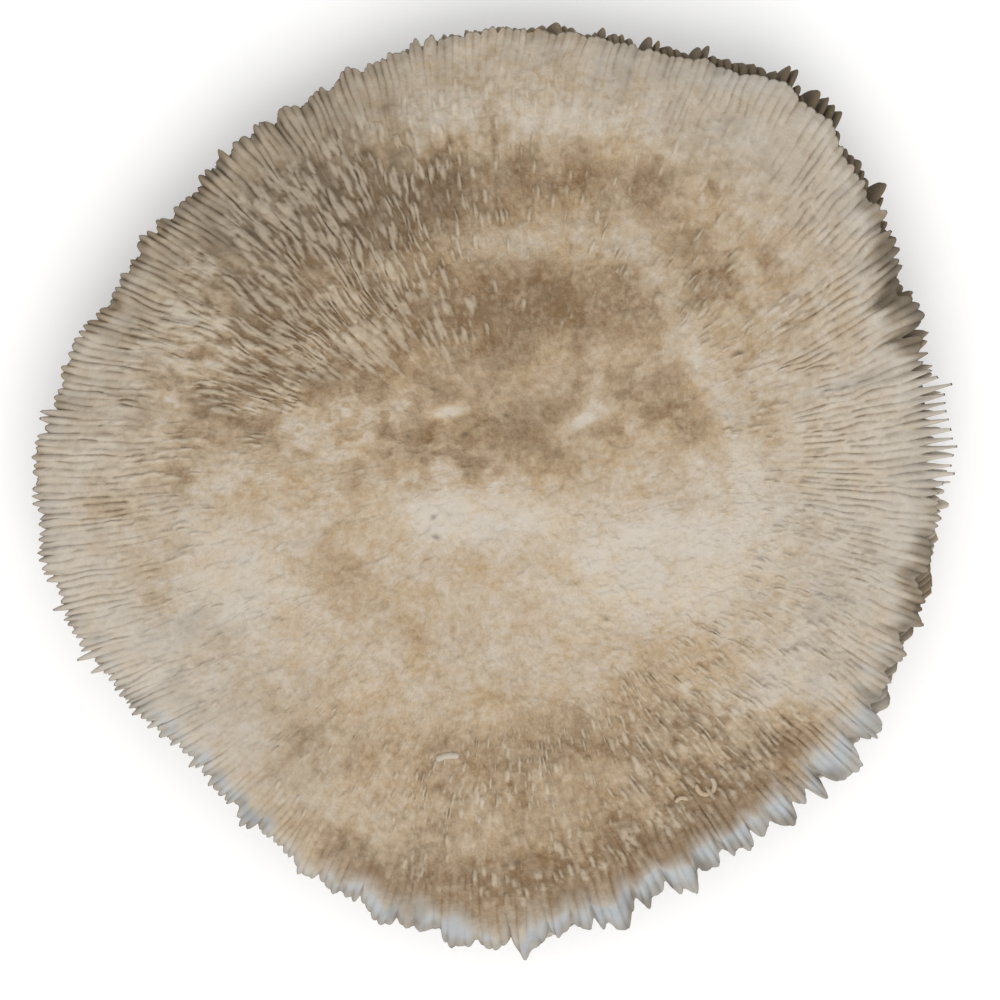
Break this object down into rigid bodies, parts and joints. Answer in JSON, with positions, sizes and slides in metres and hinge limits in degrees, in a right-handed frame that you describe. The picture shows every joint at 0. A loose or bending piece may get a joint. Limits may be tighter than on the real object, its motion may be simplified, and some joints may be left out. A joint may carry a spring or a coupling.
{
  "type": "mushroom coral skeleton",
  "caption": "Domed disc of dried mushroom coral lying on its gilled mouth side, its ribbed and knobbed underside up, with gill ends standing out as a toothed rim.",
  "frame": {"origin": "middle of the outline's bounding box, on the surface that the coral rests on", "axes": "+Z up, out of the ribbed face; +X to the right and +Y up in the picture"},
  "size_m": [0.169, 0.1718, 0.0283],
  "materials": {
    "coral": "matte, finely granular, cream with brown stains"
  },
  "bodies": {
    "root": {"mushroom_coral": "coral"}
  },
  "joints": []
}
